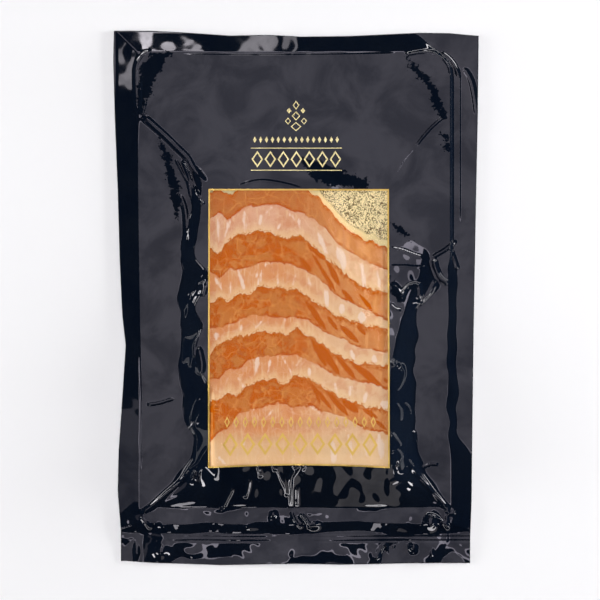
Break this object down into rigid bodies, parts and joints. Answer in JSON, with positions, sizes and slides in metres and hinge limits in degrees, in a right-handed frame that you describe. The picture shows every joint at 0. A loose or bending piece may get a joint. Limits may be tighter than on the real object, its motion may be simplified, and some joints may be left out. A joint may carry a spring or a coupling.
{
  "type": "vacuum pack of sliced hot smoked salmon",
  "caption": "Flat black vacuum pouch with a clear window over shingled slices of hot smoked salmon on a gold card.",
  "frame": {"origin": "middle of the pack's outline, on the table under its back", "axes": "+X across the pack to the right, +Y up its front towards the end without the closing seal, +Z out of the window"},
  "size_m": [0.1782, 0.2606, 0.0122],
  "materials": {
    "black_film": "high gloss",
    "clear_film": "clear, high gloss",
    "gold_card": "gold foil face, fine embossed texture",
    "smoked_salmon": "moist, satin"
  },
  "bodies": {
    "root": {"pouch": "black_film", "window": "clear_film", "card": "gold_card", "slice_1": "smoked_salmon", "slice_2": "smoked_salmon", "slice_3": "smoked_salmon", "slice_4": "smoked_salmon", "slice_5": "smoked_salmon"}
  },
  "joints": []
}
